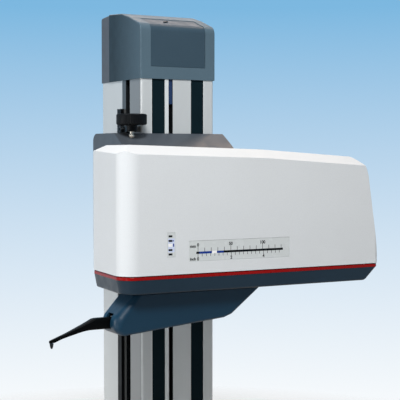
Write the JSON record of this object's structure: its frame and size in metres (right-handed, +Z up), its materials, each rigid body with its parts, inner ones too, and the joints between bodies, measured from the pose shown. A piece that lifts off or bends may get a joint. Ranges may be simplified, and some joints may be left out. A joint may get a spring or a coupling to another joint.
{
  "type": "surface roughness tester",
  "caption": "Motorised measuring column with a carriage, a traverse drive unit and a hinged stylus arm for tracing the roughness of a workpiece's surface.",
  "frame": {"origin": "middle of the column on the underside of its foot", "axes": "+Z up along the column, +X along the traverse to the right, -Y towards the user"},
  "size_m": [0.489, 0.3235, 0.7425],
  "materials": {
    "column_profile": "satin anodised",
    "left_guide_rail": "dark, ground",
    "right_guide_rail": "dark, ground",
    "slot_filler": "matt",
    "height_scale": "matt black",
    "column_foot": "matt lacquer",
    "column_screws": "plain",
    "cable_socket": "matt black",
    "cap_hood": "fine grain",
    "cap_rear_cover": "fine grain",
    "cap_screws": "plain",
    "cap_front_panel": "fine grain",
    "panel_latch": "matt black",
    "bearing_plate": "satin anodised",
    "motor_posts": "plain",
    "lift_motor": "matt black",
    "upper_bearing": "plain",
    "lower_bearing": "plain",
    "lift_screw": "plain",
    "shaft_coupling": "plain",
    "motor_shaft": "plain",
    "lift_nut": "plain",
    "nut_arm": "satin anodised",
    "carriage_block": "satin anodised",
    "guide_shoes": "plain",
    "carriage_cover": "matt",
    "reader_head": "matt black",
    "carriage_screws": "plain",
    "drive_frame": "satin anodised",
    "drive_cover": "fine grain, light grey",
    "trim_strip": "red",
    "drive_tray": "dark blue grey",
    "level_window": "pale, smooth",
    "scale_window": "pale, smooth",
    "display_board": "green board",
    "traverse_rail": "plain",
    "traverse_motor": "matt black",
    "motor_bracket": "satin anodised",
    "screw_supports": "satin anodised",
    "traverse_screw": "plain",
    "traverse_coupling": "plain",
    "traverse_shaft": "plain",
    "slide_block": "satin anodised",
    "traverse_nut": "plain",
    "slide_neck": "satin anodised",
    "probe_housing": "dark blue grey",
    "housing_lid": "dark blue grey",
    "pivot_bracket": "satin anodised",
    "pivot_bearings": "plain",
    "probe_sensor": "wound copper",
    "pivot_shaft": "plain",
    "arm_beam": "satin anodised",
    "balance_weight": "plain",
    "probe_arm": "black",
    "stylus": "dark",
    "stop_arm": "matt black",
    "stop_t_nut": "plain",
    "stop_clamp_screw": "polished",
    "stop_knob": "matt black",
    "stop_spindle": "polished"
  },
  "bodies": {
    "column": {"column_profile": "column_profile", "left_guide_rail": "left_guide_rail", "right_guide_rail": "right_guide_rail", "slot_filler": "slot_filler", "height_scale": "height_scale", "column_foot": "column_foot", "column_screws": "column_screws", "cable_socket": "cable_socket", "cap_hood": "cap_hood", "cap_rear_cover": "cap_rear_cover", "cap_screws": "cap_screws", "cap_front_panel": "cap_front_panel", "panel_latch": "panel_latch", "bearing_plate": "bearing_plate", "motor_posts": "motor_posts", "lift_motor": "lift_motor", "upper_bearing": "upper_bearing", "lower_bearing": "lower_bearing"},
    "lift_spindle": {"lift_screw": "lift_screw", "shaft_coupling": "shaft_coupling", "motor_shaft": "motor_shaft"},
    "carriage": {"lift_nut": "lift_nut", "nut_arm": "nut_arm", "carriage_block": "carriage_block", "guide_shoes": "guide_shoes", "carriage_cover": "carriage_cover", "reader_head": "reader_head", "carriage_screws": "carriage_screws", "drive_frame": "drive_frame", "drive_cover": "drive_cover", "trim_strip": "trim_strip", "drive_tray": "drive_tray", "level_window": "level_window", "scale_window": "scale_window", "display_board": "display_board", "traverse_rail": "traverse_rail", "traverse_motor": "traverse_motor", "motor_bracket": "motor_bracket", "screw_supports": "screw_supports"},
    "traverse_spindle": {"traverse_screw": "traverse_screw", "traverse_coupling": "traverse_coupling", "traverse_shaft": "traverse_shaft"},
    "probe_slide": {"slide_block": "slide_block", "traverse_nut": "traverse_nut", "slide_neck": "slide_neck", "probe_housing": "probe_housing", "housing_lid": "housing_lid", "pivot_bracket": "pivot_bracket", "pivot_bearings": "pivot_bearings", "probe_sensor": "probe_sensor"},
    "probe_lever": {"pivot_shaft": "pivot_shaft", "arm_beam": "arm_beam", "balance_weight": "balance_weight", "probe_arm": "probe_arm", "stylus": "stylus"},
    "stop": {"stop_arm": "stop_arm", "stop_t_nut": "stop_t_nut", "stop_clamp_screw": "stop_clamp_screw"},
    "stop_wheel": {"stop_knob": "stop_knob"},
    "stop_pin": {"stop_spindle": "stop_spindle"}
  },
  "joints": [
    {"name": "lift", "type": "slide", "parent": "column", "child": "carriage", "axis": [0, 0, 1], "range_m": [-0.26, 0]},
    {"name": "lift_screw_turn", "type": "hinge", "parent": "column", "child": "lift_spindle", "pos_m": [-0.012, 0, 0.3], "axis": [0, 0, 1], "range_deg": [-20, 9400]},
    {"name": "traverse", "type": "slide", "parent": "carriage", "child": "probe_slide", "axis": [1, 0, 0], "range_m": [-0.025, 0.105]},
    {"name": "traverse_screw_turn", "type": "hinge", "parent": "carriage", "child": "traverse_spindle", "pos_m": [0, -0.15, 0.408], "axis": [1, 0, 0], "range_deg": [-7600, 1840]},
    {"name": "stylus_lift", "type": "hinge", "parent": "probe_slide", "child": "probe_lever", "pos_m": [-0.1, -0.187, 0.313], "axis": [0, 1, 0], "range_deg": [0, 4]},
    {"name": "stop_height", "type": "slide", "parent": "column", "child": "stop", "axis": [0, 0, 1], "range_m": [0, 0.04]},
    {"name": "stop_knob_turn", "type": "hinge", "parent": "stop", "child": "stop_wheel", "pos_m": [-0.082, -0.084, 0.58], "axis": [0, 0, 1], "range_deg": [-1440, 0]},
    {"name": "stop_pin_feed", "type": "slide", "parent": "stop", "child": "stop_pin", "axis": [0, 0, 1], "range_m": [0, 0.006]}
  ],
  "couplings": [
    {"joint": "lift_screw_turn", "follows": "lift", "rad_per_m": -628.32},
    {"joint": "traverse_screw_turn", "follows": "traverse", "rad_per_m": -1256.6},
    {"joint": "stop_pin_feed", "follows": "stop_knob_turn", "m_per_rad": -0.00023873}
  ]
}
